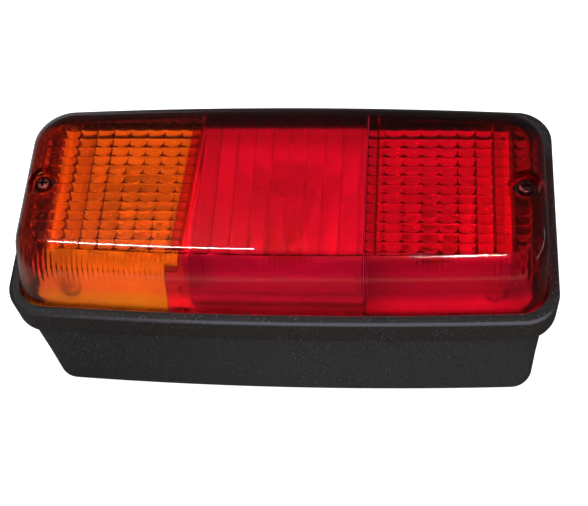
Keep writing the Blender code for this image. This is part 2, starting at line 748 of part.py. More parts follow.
def main():
    clear_scene()
    black = material("black_plastic", (0.020, 0.020, 0.021), 0.55)
    amber = material("amber_lens", (0.85, 0.25, 0.01), 0.05, transmission=0.9)
    red = material("red_lens", (0.60, 0.01, 0.01), 0.05, transmission=0.9)
    white = material("white_plastic", (0.80, 0.80, 0.78), 0.35)
    rubber = material("rubber", (0.015, 0.015, 0.015), 0.85)
    steel = material("steel", (0.62, 0.62, 0.62), 0.35, 1.0)
    dark = material("dark_steel", (0.16, 0.06, 0.055), 0.40, 1.0)
    brass = material("brass", (0.72, 0.52, 0.22), 0.35, 1.0)
    tan = material("insulator", (0.30, 0.17, 0.08), 0.60)
    glass = material("bulb_glass", (0.95, 0.97, 0.97), 0.02, transmission=1.0)

    make_housing(black)
    make_gasket(rubber)
    lenses = make_lenses(amber, red)
    make_tray(white)
    fixings = make_lens_fixings(dark, rubber, brass)
    make_tray_screws(steel)
    make_earth_strip(steel)
    make_grommet(rubber)
    hold("lens_lift", (0, 0, LENS_BOTTOM), [*lenses, *fixings])
    for label, x, _, radius, height in CHAMBERS:
        make_socket(label, x, steel)
        plunger = make_contact(label, x, brass, steel, tan)
        make_rivets(label, x, steel)
        bulb = make_bulb(label, x, radius, height, brass, glass)
        hold(f"{label}_bulb", (x, 0, CAP_BOTTOM), [*bulb, plunger])


main()
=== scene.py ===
"""Looks of the three-chamber trailer rear lamp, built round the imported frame. Metres, row frame."""

import math

import bmesh
import bpy
from mathutils import Matrix, Vector


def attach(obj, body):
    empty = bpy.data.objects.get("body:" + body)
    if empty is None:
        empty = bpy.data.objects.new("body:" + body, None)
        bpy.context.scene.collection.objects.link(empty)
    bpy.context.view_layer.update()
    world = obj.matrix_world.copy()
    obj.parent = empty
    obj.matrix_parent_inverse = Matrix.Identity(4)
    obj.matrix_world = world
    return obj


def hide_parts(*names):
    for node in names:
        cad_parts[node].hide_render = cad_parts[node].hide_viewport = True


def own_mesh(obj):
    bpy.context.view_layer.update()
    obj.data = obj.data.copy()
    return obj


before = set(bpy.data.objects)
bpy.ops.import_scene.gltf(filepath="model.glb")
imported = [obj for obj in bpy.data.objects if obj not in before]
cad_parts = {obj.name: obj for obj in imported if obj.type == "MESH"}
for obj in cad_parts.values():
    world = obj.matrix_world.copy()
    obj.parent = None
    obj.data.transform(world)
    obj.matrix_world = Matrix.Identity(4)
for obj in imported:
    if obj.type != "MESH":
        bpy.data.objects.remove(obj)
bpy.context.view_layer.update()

# The CAD's own dimensions
GAP = 0.0003  # between two pieces that touch on the real lamp
RIM_HALF, RIM_RADIUS = (0.0950, 0.0426), 0.0117
BODY_HALF, BODY_RADIUS = (0.0906, 0.0415), 0.0080
SIDE_BOW = 0.0026
RIM_BOTTOM, RIM_TOP, RIM_EDGE = 0.0449, 0.0580, 0.0013
BODY_DRAFT, BACK_EDGE = 0.0002, 0.0021
WALL, BACK_WALL = 0.0026, 0.0030
LEDGE_TOP, LEDGE_THICKNESS = 0.0530, 0.0025
LEDGE_HALF, LEDGE_RADIUS = (0.0869, 0.0354), 0.0066
RECESS_WALL = 0.0004  # running gap between the lens edge and the rim round it
LENS_HALF, LENS_RADIUS = (0.0908, 0.0386), 0.0090
LENS_TOP_HALF, LENS_TOP_RADIUS = (0.0906, 0.0300), 0.0148
LENS_TOP, LENS_FILLET, LENS_WALL = 0.0765, 0.0065, 0.0024
LENS_BOTTOM = 0.0551
SEAM_X, SEAM_GAP = 0.0298, 0.0003
AMBER_SEAM_X, AMBER_SEAM_LEAN = -0.0302, 0.0625
STEP_X, STEP_Y, STEP_TOP = 0.0370, -0.0265, 0.0728
LIP_WIDTH, LIP_HALF_Y, LIP_BOTTOM = 0.0038, 0.0255, 0.0728
LENS_ENDS, LENS_SIDES, LENS_HEIGHTS = (-0.12, 0.12), (-0.06, 0.06), (0.04, 0.09)
SCREW_X, RECESS_RADIUS, RECESS_FLOOR = 0.0833, 0.0053, 0.0718
CUP_RADIUS, CUP_FLOOR, POST_RADIUS, SCREW_BORE = 0.0063, 0.0698, 0.0045, 0.0020
BOSS_RADIUS = 0.0052
INSERT_RADIUS, INSERT_LENGTH, BORE_FLOOR = 0.0027, 0.0080, 0.0300
SCREW_RADIUS, SCREW_TIP, SCREW_HEAD = 0.00175, 0.0455, (0.0031, 0.0018)  # head: radius, height
WASHER_RADIUS, WASHER_THICKNESS = 0.0035, 0.0008
DECK_TOP, DECK_THICKNESS = 0.0510, 0.0016
DISH_FLOOR, DISH_FLOOR_RADIUS, SKIN = 0.0345, 0.0152, 0.0015
DECK_HALF, DECK_RADIUS = (0.0865, 0.0350), 0.0062
BOSS_CLEARANCE, BULB_HOLE_RADIUS = 0.0004, 0.0092
PARTITION_TOP, PARTITION_THICKNESS = 0.0722, 0.0016
PARTITION_Y = (0.0340, 0.0300)  # half its width at the foot and at the head
SIDE_WALL_Y, SIDE_WALL_TOP, SIDE_WALL_THICKNESS = 0.0348, 0.0637, 0.0012
END_WALL_X, END_WALL_TOP, END_WALL_THICKNESS = 0.0771, 0.0692, 0.0014
END_WALL_Y = (0.0300, 0.0270)
PILLAR_PLACES = [(sx * 0.0735, sy * 0.0285) for sx in (-1, 1) for sy in (-1, 1)]
PILLAR_RADIUS, TRAY_SCREW_RADIUS = 0.0038, 0.00145
TRAY_SCREW_HEAD, TRAY_SCREW_TIP, TRAY_BORE_FLOOR = (0.0028, 0.0018), 0.0370, 0.0330
CHAMBERS = (  # name, X, radius of the dish, radius of the bulb's ball, height of its glass
    ("indicator", -0.0535, 0.0215, 0.0132, 0.0330),
    ("stop", 0.0, 0.0245, 0.0132, 0.0330),
    ("tail", 0.0535, 0.0215, 0.0094, 0.0215),
)
CAP_RADIUS, CAP_BOTTOM, CAP_TOP, PIN_Z = 0.0075, 0.0185, 0.0342, 0.0245
FLANGE_THICKNESS, STRIP_THICKNESS = 0.0013, 0.0009  # socket flange and earth strip
RIVET_RADIUS, RIVET_HEAD, RIVET_Y = 0.0012, 0.0021, 0.0120
SPRING_RADIUS, SPRING_WIRE, SPRING_ENDS, SPRING_TURNS = 0.0020, 0.00025, (0.0123, 0.0159), 3
MOUNT_HOLE_X, MOUNT_HOLE_RADIUS = 0.0700, 0.00265
GROMMET_X, INLET_RADIUS, INLET_SEAT_RADIUS, INLET_SEAT = -0.0270, 0.0050, 0.0086, 0.0012
DRAIN_WIDTH, DRAIN_DEPTH, DRAIN_HEIGHTS = 0.0036, 0.0011, (0.0440, 0.0461)

# Fineness of the meshes
OUTLINE_STEPS = (18, 40, 14)  # per corner, long side and short side
SKIRT_RINGS = (0.0605, 0.0630, 0.0655, 0.0680)
SHARP, LENS_SHARP = math.radians(35), math.radians(30)  # an edge is shaded sharp from here on

# Optics inside the lens
CELL = (0.0061, 0.00375)  # one facet
CELL_CUTS = (0.0, 0.05, 0.10, 0.30, 0.50, 0.70, 0.90, 0.95)  # shares of a cell
ROW_PILLOW = (0.0058, 0.00024)  # radius, depth of the grooves
COLUMN_PILLOW, OUTER_PILLOW = (0.0105, 0.00016), (0.0044, 0.00050)
MIDDLE_PILLOW = (0.0120, 0.00016)
OUTER_COLUMNS = (0.0560, 0.0740)  # where the columns grow from one pillow to the other
RIB_PITCH, RIB_DEPTH, AMBER_RIB_DEPTH = 0.0018, 0.00020, 0.00040
LENS_SEAM = 0.0001  # narrower than the CAD's gap, as the real mouldings touch
TOE_OVERLAP = 0.0010  # how far the toe runs into the rest of the red moulding

# Where the tint and the painted shade of the lens change: the start of each change, then its end
SKIRT_TOP = (0.0622, 0.0640)  # heights
SHOULDER = (0.0675, 0.0695)
FRONT_EDGE = (-0.0262, -0.0295)  # Y
FAR_EDGE = (0.0220, 0.0236)
END_EDGE = (0.0772, 0.0790)  # X, at both ends
SEAM_LINE = (0.0002, 0.0006)  # distances from the seam
SEAM_STRIP = 0.0036  # width of the tinted strip beside the straight seam
BLEND = 0.0003

CAMERA_TARGET, CAMERA_DISTANCE = (0.00197, -0.00445, 0.035), 0.4378
CAMERA_ANGLES = (11.74, 60.0, -9.51)  # azimuth, elevation and roll, in degrees


# ---- meshes


def outline(half, radius, inset=0.0):
    """Points of a rounded rectangle whose long sides bow out."""
    half_x, half_y, radius = half[0] - inset, half[1] - inset, max(radius - inset, 0.0008)
    corner, along, across = OUTLINE_STEPS
    points = []
    for sx, sy, start in ((1, 1, 0), (-1, 1, 90), (-1, -1, 180), (1, -1, 270)):
        for i in range(corner + 1):
            a = math.radians(start + 90 * i / corner)
            x = sx * (half_x - radius) + radius * math.cos(a)
            points.append((x, sy * (half_y - radius) + radius * math.sin(a)))
        if sx * sy > 0:
            for i in range(1, along):
                points.append((sx * (half_x - radius) * (1 - 2 * i / along), sy * half_y))
        else:
            for i in range(1, across):
                points.append((sx * half_x, sy * (half_y - radius) * (1 - 2 * i / across)))
    bowed = []
    for x, y in points:
        share = abs(y) / half_y * (1 - (x / half_x) ** 2)
        bowed.append((x, y + math.copysign(SIDE_BOW * share, y)))
    return bowed


def ring_at(points, z):
    return [Vector((x, y, z)) for x, y in points]


def arc(center, radius, start, end, steps):
    angles = [math.radians(start + (end - start) * i / steps) for i in range(steps + 1)]
    return [(center[0] + radius * math.cos(a), center[1] + radius * math.sin(a)) for a in angles]


def finish(name, built):
    bmesh.ops.recalc_face_normals(built, faces=built.faces)
    mesh = bpy.data.meshes.new(name)
    built.to_mesh(mesh)
    built.free()
    obj = bpy.data.objects.new(name, mesh)
    bpy.context.scene.collection.objects.link(obj)
    mesh.shade_smooth()
    mesh.set_sharp_from_angle(angle=SHARP)
    return obj


def skin(name, loops, closed=False):
    """Joins rings of equal length one to the next. The ends are capped, or joined when closed."""
    built = bmesh.new()
    rings = [[built.verts.new(point) for point in loop] for loop in loops]
    pairs = list(zip(rings, rings[1:]))
    if closed:
        pairs.append((rings[-1], rings[0]))
    else:
        built.faces.new(rings[0])
        built.faces.new(rings[-1])
    for below, above in pairs:
        for i in range(len(below)):
            j = (i + 1) % len(below)
            built.faces.new((below[i], below[j], above[j], above[i]))
    return finish(name, built)


def turned(name, profile, center=(0, 0), steps=48, hollow=False):
    """A piece turned about a vertical axis, from (radius, z) points."""
    loops = []
    for radius, z in profile:
        angles = [2 * math.pi * (i + 0.5) / steps for i in range(steps)]
        circle = [
            (center[0] + radius * math.cos(a), center[1] + radius * math.sin(a)) for a in angles
        ]
        loops.append(ring_at(circle, z))
    return skin(name, loops, hollow)


def cylinder(radius, bottom, top, center=(0, 0), steps=48):
    return turned("cutter", [(radius, bottom), (radius, top)], center, steps)


def block(low, high):
    corners = [(low[0], low[1]), (high[0], low[1]), (high[0], high[1]), (low[0], high[1])]
    return skin("cutter", [ring_at(corners, low[2]), ring_at(corners, high[2])])


def combine(target, operation, *others):
    """Applies Booleans to the target and removes the other objects."""
    for other in others:
        step = target.modifiers.new("step", "BOOLEAN")
        step.operation = operation
        step.solver = "EXACT"
        step.object = other
        graph = bpy.context.evaluated_depsgraph_get()
        result = bpy.data.meshes.new_from_object(target.evaluated_get(graph))
        target.modifiers.clear()
        target.data = result
        bpy.data.objects.remove(other)
    target.data.shade_smooth()
    target.data.set_sharp_from_angle(angle=SHARP)
    return target


def rounded(points, radius):
    """Rounds the inner corners of a profile of (radius, z) points."""
    out = [points[0]]
    for before, here, after in zip(points, points[1:], points[2:]):
        a, b, c = Vector(before), Vector(here), Vector(after)
        to_a, to_c = a - b, c - b
        reach = min(radius, to_a.length * 0.45, to_c.length * 0.45)
        start, end = b + to_a.normalized() * reach, b + to_c.normalized() * reach
        for i in range(5):
            t = i / 4
            out.append(tuple((1 - t) ** 2 * start + 2 * t * (1 - t) * b + t * t * end))
    out.append(points[-1])
    return out


# ---- materials


class Look:
    """A material with its nodes, in object coordinates (metres)."""

    def __init__(self, name, color, roughness, metallic=0.0):
        self.material = bpy.data.materials.new(name)
        self.material.use_nodes = True
        self.tree = self.material.node_tree
        self.shader = self.tree.nodes["Principled BSDF"]
        self.set("Base Color", (*color, 1.0))
        self.set("Roughness", roughness)
        self.set("Metallic", metallic)
        self.place = self.node("ShaderNodeTexCoord").outputs["Object"]

    def set(self, socket, value):
        self.shader.inputs[socket].default_value = value

    def node(self, kind, **settings):
        made = self.tree.nodes.new(kind)
        for key, value in settings.items():
            setattr(made, key, value)
        return made

    def link(self, output, target):
        self.tree.links.new(output, target)

    def noise(self, scale, detail=2.0, stretch=(1, 1, 1)):
        mapping = self.node("ShaderNodeMapping")
        mapping.inputs["Scale"].default_value = stretch
        self.link(self.place, mapping.inputs["Vector"])
        made = self.node("ShaderNodeTexNoise")
        made.inputs["Scale"].default_value = scale
        made.inputs["Detail"].default_value = detail
        self.link(mapping.outputs["Vector"], made.inputs["Vector"])
        return made.outputs["Fac"]

    def spots(self, scale, size):
        """Small round specks: 1 inside, 0 outside."""
        made = self.node("ShaderNodeTexVoronoi")
        made.inputs["Scale"].default_value = scale
        self.link(self.place, made.inputs["Vector"])
        return self.remap(made.outputs["Distance"], size, size * 0.6, 0.0, 1.0)

    def split(self, vector):
        made = self.node("ShaderNodeSeparateXYZ")
        self.link(vector, made.inputs[0])
        return made.outputs

    def scaled(self, color, share):
        made = self.node("ShaderNodeVectorMath", operation="SCALE")
        self.link(color, made.inputs[0])
        self.link(share, made.inputs["Scale"])
        return made.outputs[0]

    def waves(self, value, pitch):
        return self.math("SINE", self.math("MULTIPLY", value, 2 * math.pi / pitch))

    def remap(self, value, low, high, to_low, to_high):
        made = self.node("ShaderNodeMapRange")
        ranges = {"From Min": low, "From Max": high, "To Min": to_low, "To Max": to_high}
        for key, number in ranges.items():
            made.inputs[key].default_value = number
        self.link(value, made.inputs["Value"])
        return made.outputs["Result"]

    def rise(self, value, start, end):
        """0 before start, 1 past end."""
        return self.remap(value, start, end, 0, 1)

    def fall(self, value, start, end):
        """1 before start, 0 past end."""
        return self.remap(value, start, end, 1, 0)

    def all_of(self, first, *others):
        """The product of several shares."""
        for other in others:
            first = self.math("MULTIPLY", first, other)
        return first

    def math(self, operation, a, b=0.0):
        made = self.node("ShaderNodeMath", operation=operation)
        for socket, value in zip(made.inputs, (a, b)):
            if isinstance(value, (int, float)):
                socket.default_value = value
            else:
                self.link(value, socket)
        return made.outputs["Value"]

    def mix(self, factor, a, b):
        """A colour between a and b."""
        made = self.node("ShaderNodeMix", data_type="RGBA")
        self.link(factor, made.inputs["Factor"])
        for socket, value in ((made.inputs[6], a), (made.inputs[7], b)):
            if isinstance(value, tuple):
                socket.default_value = (*value, 1.0)
            else:
                self.link(value, socket)
        return made.outputs[2]

    def bump(self, height, strength, distance):
        made = self.node("ShaderNodeBump")
        made.inputs["Strength"].default_value = strength
        made.inputs["Distance"].default_value = distance
        self.link(height, made.inputs["Height"])
        return made.outputs["Normal"]

    def to(self, socket, output):
        self.link(output, self.shader.inputs[socket])

    def clear_in_shadow(self, tint=(1.0, 1.0, 1.0)):
        """Shadow rays pass straight through with this tint, so that the inside is lit."""
        clear = self.node("ShaderNodeBsdfTransparent")
        clear.inputs["Color"].default_value = (*tint, 1.0)
        mixed = self.node("ShaderNodeMixShader")
        path = self.node("ShaderNodeLightPath")
        self.link(path.outputs["Is Shadow Ray"], mixed.inputs[0])
        self.link(self.shader.outputs[0], mixed.inputs[1])
        self.link(clear.outputs[0], mixed.inputs[2])
        self.link(mixed.outputs[0], self.tree.nodes["Material Output"].inputs["Surface"])

    def absorb(self, kept, density):
        """Light is coloured on its way through the piece: kept is what stays of it."""
        made = self.node("ShaderNodeVolumeAbsorption")
        made.inputs["Color"].default_value = (*kept, 1.0)
        made.inputs["Density"].default_value = density
        self.link(made.outputs[0], self.tree.nodes["Material Output"].inputs["Volume"])


def black_look():
    """Grained black plastic with dust; a painted highlight along the rim's front edge, painted shade
    on its flat top and towards the left end.
    """
    look = Look("black_textured_plastic", (0.018, 0.018, 0.019), 0.5)
    look.set("Specular IOR Level", 0.35)
    x, y, z = look.split(look.place)
    _, _, up = look.split(look.node("ShaderNodeTexCoord").outputs["Normal"])
    grain, broad = look.noise(2600, 3), look.noise(60, 3)
    grainy = look.rise(grain, 0.35, 0.75)
    on_rim = look.rise(z, RIM_BOTTOM, RIM_BOTTOM + 0.001)
    body = look.mix(grainy, (0.024, 0.0235, 0.026), (0.080, 0.076, 0.081))
    rim = look.mix(grainy, (0.024, 0.019, 0.019), (0.058, 0.047, 0.046))
    base = look.mix(on_rim, body, rim)
    slope = look.all_of(look.rise(up, 0.10, 0.45), look.fall(up, 0.90, 0.99))
    front = look.rise(y, -0.0370, -0.0410)
    # Painted highlight along the rim's rounded front edge, fainter towards the left end
    edge_highlight = look.all_of(slope, front, look.remap(x, -0.090, -0.020, 0.2, 1.0), on_rim)
    base = look.mix(edge_highlight, base, look.mix(grain, (0.09, 0.09, 0.11), (0.15, 0.15, 0.18)))
    # Painted shade on the rim's flat top
    flat_top_shade = look.all_of(look.rise(up, 0.93, 0.99), on_rim)
    base = look.mix(flat_top_shade, base, (0.016, 0.015, 0.016))
    # Painted shade: the housing darker towards the left end
    base = look.scaled(base, look.remap(x, -0.095, -0.005, 0.55, 1.0))
    patches = look.remap(broad, 0.38, 0.58, 0.15, 1)
    dust = look.all_of(look.spots(700, 0.24), patches, 0.30)
    look.to("Base Color", look.mix(dust, base, (0.36, 0.35, 0.36)))
    look.to("Roughness", look.remap(broad, 0.3, 0.7, 0.42, 0.58))
    look.to("Normal", look.bump(grain, 0.7, 0.00020))
    return look.material


def lens_tint(look, tints):
    """The colour of the lens at each place, from the named tints; those at the front edge, the ends
    and the far edge are painted shade.
    """
    x, y, z = look.split(look.place)
    out = look.math("ABSOLUTE", x)
    # Painted shade for the ends and the far edge: a soft chequer, darker in every other square
    squares = look.all_of(look.waves(x, CELL[0] * 0.6), look.waves(y, CELL[1]))
    squares = look.rise(squares, -0.15, 0.15)
    half_strip = SEAM_STRIP / 2
    beside_seam = look.math("ABSOLUTE", look.math("SUBTRACT", x, SEAM_X + half_strip))
    on_strip = look.rise(beside_seam, half_strip, half_strip - BLEND)
    color = look.mix(on_strip, tints["middle"], tints["strip"])
    # Along the front edge: the skirt's tint below, painted shade (near) above it
    front = look.mix(look.rise(z, *SKIRT_TOP), tints["skirt"], tints["near"])
    color = look.mix(look.rise(y, *FRONT_EDGE), color, front)
    top = look.rise(z, *SHOULDER)
    # Painted shade, deeper red, over the ends and the far edge above the shoulder
    for place, edge, key, shade in ((out, END_EDGE, "ends", 0.55), (y, FAR_EDGE, "far", 0.35)):
        checked = look.mix(squares, tuple(value * shade for value in tints[key]), tints[key])
        color = look.mix(look.all_of(look.rise(place, *edge), top), color, checked)
    # How far a place is from the leaning seam, along X
    leaned = look.math("MULTIPLY", y, AMBER_SEAM_LEAN)
    lean = look.math("SUBTRACT", look.math("SUBTRACT", x, AMBER_SEAM_X), leaned)
    on_top = look.rise(y, STEP_Y - 0.0004, STEP_Y)
    over_lip = look.all_of(
        look.rise(lean, -LIP_WIDTH, BLEND - LIP_WIDTH),
        look.fall(lean, -BLEND, 0),
        look.fall(y, *FAR_EDGE),
        on_top,
    )
    color = look.mix(over_lip, color, tints["lip"])
    lines = (
        (look.math("SUBTRACT", x, SEAM_X), 1.0),
        (look.math("SUBTRACT", x, SEAM_X + SEAM_STRIP), on_top),
        (lean, on_top),
    )
    for offset, share in lines:
        near_seam = look.fall(look.math("ABSOLUTE", offset), *SEAM_LINE)
        color = look.mix(look.all_of(near_seam, share), color, tints["seams"])
    dust = look.all_of(look.spots(230, 0.09), look.rise(look.noise(38, 2), 0.58, 0.64), 0.7)
    color = look.mix(dust, color, (1.0, 0.85, 0.85))
    return look.scaled(color, look.remap(look.noise(55, 3), 0.35, 0.7, 0.90, 1.0))


def lens_look(name, tints, kept, density):
    """Coloured acrylic, frosted inside and glossy outside, with painted shade at its front edge, ends
    and far edge.
    """
    look = Look(name, tints["middle"], 0.2)
    look.set("Transmission Weight", 1.0)
    look.set("IOR", 1.49)
    look.set("Specular Tint", (0.22, 0.05, 0.03, 1.0))
    look.set("Coat Weight", 1.0)
    look.set("Coat Roughness", 0.015)
    look.set("Coat IOR", 1.5)
    look.to("Base Color", lens_tint(look, tints))
    out = look.math("ABSOLUTE", look.split(look.place)[0])
    look.to("Roughness", look.remap(out, SEAM_X - 0.0008, SEAM_X, 0.245, 0.175))
    look.to("Coat Normal", look.bump(look.noise(260, 1, (1.0, 0.35, 1.0)), 0.20, 0.0002))
    look.clear_in_shadow([math.sqrt(value) for value in tints["middle"]])
    look.absorb(kept, density)
    return look.material


def white_look():
    look = Look("white_tray_plastic", (0.86, 0.86, 0.84), 0.3)
    cloud = look.rise(look.noise(45, 4), 0.3, 0.7)
    look.to("Base Color", look.mix(cloud, (0.88, 0.88, 0.86), (0.80, 0.80, 0.77)))
    look.to("Roughness", look.remap(look.noise(400, 2), 0.3, 0.7, 0.22, 0.38))
    look.to("Normal", look.bump(look.noise(900, 2), 0.15, 0.0001))
    return look.material


def rubber_look():
    look = Look("black_rubber", (0.014, 0.014, 0.014), 0.8)
    bloom = look.noise(150, 4)
    shade = look.mix(look.rise(bloom, 0.4, 0.7), (0.012, 0.012, 0.012), (0.030, 0.029, 0.028))
    look.to("Base Color", shade)
    look.to("Roughness", look.remap(bloom, 0.3, 0.7, 0.70, 0.90))
    look.to("Normal", look.bump(look.noise(1800, 2), 0.3, 0.0001))
    return look.material


def metal_look(name, bright, dull, rough):
    look = Look(name, bright, rough, 1.0)
    stain = look.noise(160, 4)
    brushed = look.noise(700, 3)
    look.to("Base Color", look.mix(look.rise(stain, 0.35, 0.75), bright, dull))
    look.to("Roughness", look.remap(brushed, 0.3, 0.7, rough * 0.7, rough * 1.35))
    look.to("Normal", look.bump(brushed, 0.2, 0.00005))
    return look.material


def insulator_look():
    look = Look("brown_laminate", (0.20, 0.10, 0.04), 0.55)
    layers = look.noise(900, 3, (1, 1, 6))
    shade = look.mix(look.rise(layers, 0.3, 0.7), (0.24, 0.12, 0.05), (0.13, 0.065, 0.03))
    look.to("Base Color", shade)
    look.to("Normal", look.bump(layers, 0.3, 0.0001))
    return look.material


def glass_look():
    look = Look("bulb_glass", (0.97, 0.98, 0.98), 0.0)
    look.set("Transmission Weight", 1.0)
    look.set("IOR", 1.45)
    look.to("Roughness", look.remap(look.noise(120, 3), 0.3, 0.8, 0.0, 0.03))
    look.clear_in_shadow()
    return look.material


# Named tints of each lens; near, ends and far are painted shade along the front edge, at the ends and
# along the far edge
AMBER_TINTS = {
    "middle": (0.96, 0.70, 0.46),
    "near": (0.80, 0.46, 0.30),
    "skirt": (0.70, 0.72, 0.16),
    "ends": (1.00, 0.22, 1.00),
    "far": (0.12, 0.035, 0.40),
    "seams": (0.35, 0.06, 0.30),
    "strip": (0.96, 0.70, 0.46),
    "lip": (0.60, 0.34, 0.50),
}
RED_TINTS = {
    "middle": (0.95, 0.17, 0.44),
    "near": (0.42, 0.11, 0.26),
    "skirt": (0.95, 0.17, 0.46),
    "ends": (0.60, 0.16, 0.24),
    "far": (0.045, 0.035, 0.05),
    "seams": (0.25, 0.06, 0.08),
    "strip": (0.80, 0.15, 0.42),
    "lip": (0.95, 0.17, 0.44),
}
LOOKS = {
    "black_plastic": black_look(),
    "amber_lens": lens_look("amber_acrylic", AMBER_TINTS, (0.979, 0.671, 0.0), 700.0),
    "red_lens": lens_look("red_acrylic", RED_TINTS, (0.969, 0.0, 0.475), 800.0),
    "white_plastic": white_look(),
    "rubber": rubber_look(),
    "steel": metal_look("zinc_plated_steel", (0.78, 0.78, 0.78), (0.64, 0.63, 0.61), 0.42),
    # Lens screws: steel painted dark red, as painted shade and a painted reflection of the red lens
    # round them
    "dark_steel": metal_look("steel_with_painted_red_shade", (0.15, 0.035, 0.030), (0.07, 0.02, 0.018), 0.33),
    "brass": metal_look("brass", (0.80, 0.60, 0.28), (0.58, 0.40, 0.17), 0.28),
    "insulator": insulator_look(),
    "bulb_glass": glass_look(),
}
PALE_STEEL = metal_look("zinc_flake_steel", (0.92, 0.92, 0.90), (0.84, 0.84, 0.82), 0.65)

CAD_SLOTS = (  # how the names of the CAD nodes that stay end, and the slot of each
    ("earth_strip", "steel"),
    ("screw_insert", "brass"),
    ("socket_shell", "steel"),
    ("contact_carrier", "insulator"),
    ("contact_plunger", "brass"),
    ("live_terminal", "brass"),
)


def dress(obj, slot, body, *nodes):
    """Gives a new piece its material, its body and the CAD nodes that it stands for."""
    obj.data.materials.clear()
    obj.data.materials.append(LOOKS[slot])
    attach(obj, body)
    if nodes:
        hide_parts(*nodes)
    return obj


# ---- housing


def housing_loops():
    """The outside of the body and rim from the back up, then the recess, ledge and inside down."""

    def body(inset, z):
        return ring_at(outline(BODY_HALF, BODY_RADIUS, inset), z)

    corner, edge = 0.0006, 0.0009  # radii where the body meets the rim and of the rim's underside
    loops = []
    for inset, z in arc((BACK_EDGE, BACK_EDGE), BACK_EDGE, 270, 180, 8):
        loops.append(body(inset + BODY_DRAFT, z))
    loops.append(body(0.0003, 0.020))
    loops.append(body(0, RIM_BOTTOM - corner))
    for inset, z in arc((-corner, RIM_BOTTOM - corner), corner, 0, 90, 3)[1:]:
        loops.append(body(inset, z))
    for inset, z in arc((edge, RIM_BOTTOM + edge), edge, 270, 180, 4):
        loops.append(ring_at(outline(RIM_HALF, RIM_RADIUS, inset), z))
    for inset, z in arc((RIM_EDGE, RIM_TOP - RIM_EDGE), RIM_EDGE, 180, 90, 6):
        loops.append(ring_at(outline(RIM_HALF, RIM_RADIUS, inset), z))
    recess = (LENS_HALF[0] + RECESS_WALL, LENS_HALF[1] + RECESS_WALL)
    mouth = [(-0.0003, RIM_TOP), (-0.0001, RIM_TOP - 0.0001), (0, RIM_TOP - 0.0003)]
    for inset, z in (*mouth, (0, LEDGE_TOP)):
        loops.append(ring_at(outline(recess, LENS_RADIUS + RECESS_WALL, inset), z))
    ledge_bottom = LEDGE_TOP - LEDGE_THICKNESS
    for inset, z in ((-0.0004, LEDGE_TOP), (0, LEDGE_TOP - 0.0004), (0, ledge_bottom)):
        loops.append(ring_at(outline(LEDGE_HALF, LEDGE_RADIUS, inset), z))
    inner, radius = (BODY_HALF[0] - WALL, BODY_HALF[1] - WALL), BODY_RADIUS - WALL
    loops.append(ring_at(outline(inner, radius), ledge_bottom - 0.002))
    loops.append(ring_at(outline(inner, radius, BODY_DRAFT), BACK_WALL + 0.002))
    loops.append(ring_at(outline(inner, radius, BODY_DRAFT + 0.002), BACK_WALL))
    return loops


def make_housing():
    housing = skin("housing_shell", housing_loops())
    for side in (-1, 1):
        center = (side * SCREW_X, 0)
        combine(housing, "UNION", cylinder(BOSS_RADIUS, BACK_WALL - 0.001, LEDGE_TOP, center))
        seat = LEDGE_TOP - INSERT_LENGTH - 2 * GAP
        combine(
            housing,
            "DIFFERENCE",
            cylinder(SCREW_BORE, BORE_FLOOR, LEDGE_TOP + 0.001, center),
            cylinder(INSERT_RADIUS + GAP, seat, LEDGE_TOP + 0.001, center),
            cylinder(MOUNT_HOLE_RADIUS, -0.001, 0.005, (side * MOUNT_HOLE_X, 0)),
        )
    for place in PILLAR_PLACES:
        top = DECK_TOP - DECK_THICKNESS - GAP
        bore = cylinder(TRAY_SCREW_RADIUS + GAP, TRAY_BORE_FLOOR, top + 0.001, place, 24)
        combine(housing, "UNION", cylinder(PILLAR_RADIUS, BACK_WALL - 0.001, top, place, 32))
        combine(housing, "DIFFERENCE", bore)
    front = -(RIM_HALF[1] + SIDE_BOW)
    low, high = DRAIN_HEIGHTS
    combine(
        housing,
        "DIFFERENCE",
        cylinder(INLET_RADIUS, -0.001, 0.005, (GROMMET_X, 0)),
        cylinder(INLET_SEAT_RADIUS, -0.001, INLET_SEAT, (GROMMET_X, 0)),
        block((0, front - 0.001, low), (DRAIN_WIDTH, front + DRAIN_DEPTH, high)),
    )
    dress(housing, "black_plastic", "root", "rear_housing")


# ---- lens


def lens_ring(z, inset):
    """The lens outline at a height: it narrows and its corners widen from the rim to the top."""
    share = max(0.0, (z - RIM_TOP) / (LENS_TOP - RIM_TOP))
    half = [low + (high - low) * share for low, high in zip(LENS_HALF, LENS_TOP_HALF)]
    return ring_at(outline(half, LENS_RADIUS + (LENS_TOP_RADIUS - LENS_RADIUS) * share, inset), z)


def lens_surface(inset):
    """Rings from the lens's lower edge to its top, this far inside its outer face."""
    radius = LENS_FILLET - inset
    top = LENS_TOP - inset
    rings = [lens_ring(LENS_BOTTOM, inset), lens_ring(RIM_TOP, inset)]
    for z in SKIRT_RINGS:
        rings.append(lens_ring(z, inset))
    for step_in, z in arc((radius, top - radius), radius, 180, 90, 10):
        rings.append(lens_ring(z, inset + step_in))
    return rings


def post_cutters(side):
    """What is added to an end lens for its screw, and what is then cut from it."""
    center = (side * SCREW_X, 0)
    added = (
        cylinder(CUP_RADIUS, CUP_FLOOR, RECESS_FLOOR + 0.0002, center),
        cylinder(POST_RADIUS, LEDGE_TOP + 0.0004, CUP_FLOOR + 0.001, center),
    )
    removed = (
        cylinder(RECESS_RADIUS, RECESS_FLOOR, LENS_TOP + 0.001, center),
        cylinder(SCREW_BORE, LEDGE_TOP, RECESS_FLOOR + 0.001, center),
    )
    return added, removed


